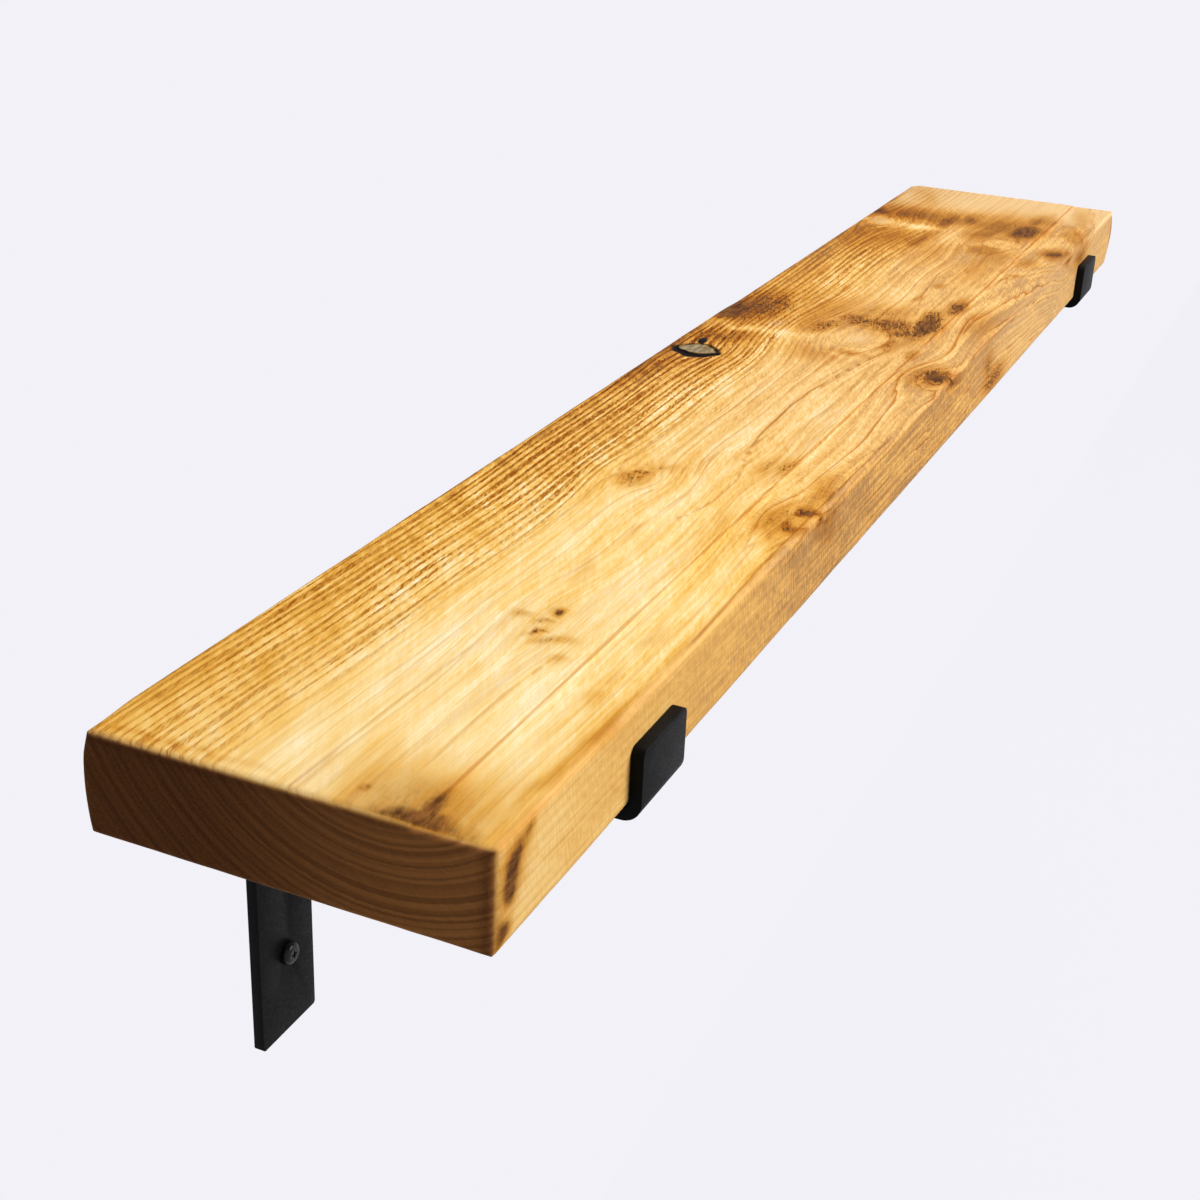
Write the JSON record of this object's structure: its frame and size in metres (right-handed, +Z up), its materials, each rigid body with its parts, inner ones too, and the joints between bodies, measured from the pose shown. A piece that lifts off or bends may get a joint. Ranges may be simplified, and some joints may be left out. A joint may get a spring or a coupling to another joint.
{
  "type": "bracket wall shelf",
  "caption": "Rough-sawn waxed wooden wall shelf on black lipped brackets bent from flat bar, screwed to the wall and to the board's underside.",
  "frame": {"origin": "on the wall plane, at the middle of the rectangle of wall screws", "axes": "+X along the board towards its right end, +Y into the wall, +Z up"},
  "size_m": [0.9999, 0.2086, 0.211],
  "materials": {
    "waxed_wood": "rough-sawn softwood with honey wax",
    "powder_coat": "black satin powder coat",
    "black_screw": "black coated steel"
  },
  "bodies": {
    "root": {"board": "waxed_wood", "left_bracket": "powder_coat", "left_upper_wall_screw": "black_screw", "left_lower_wall_screw": "black_screw", "left_front_board_screw": "black_screw", "left_back_board_screw": "black_screw", "right_bracket": "powder_coat", "right_upper_wall_screw": "black_screw", "right_lower_wall_screw": "black_screw", "right_front_board_screw": "black_screw", "right_back_board_screw": "black_screw"}
  },
  "joints": []
}
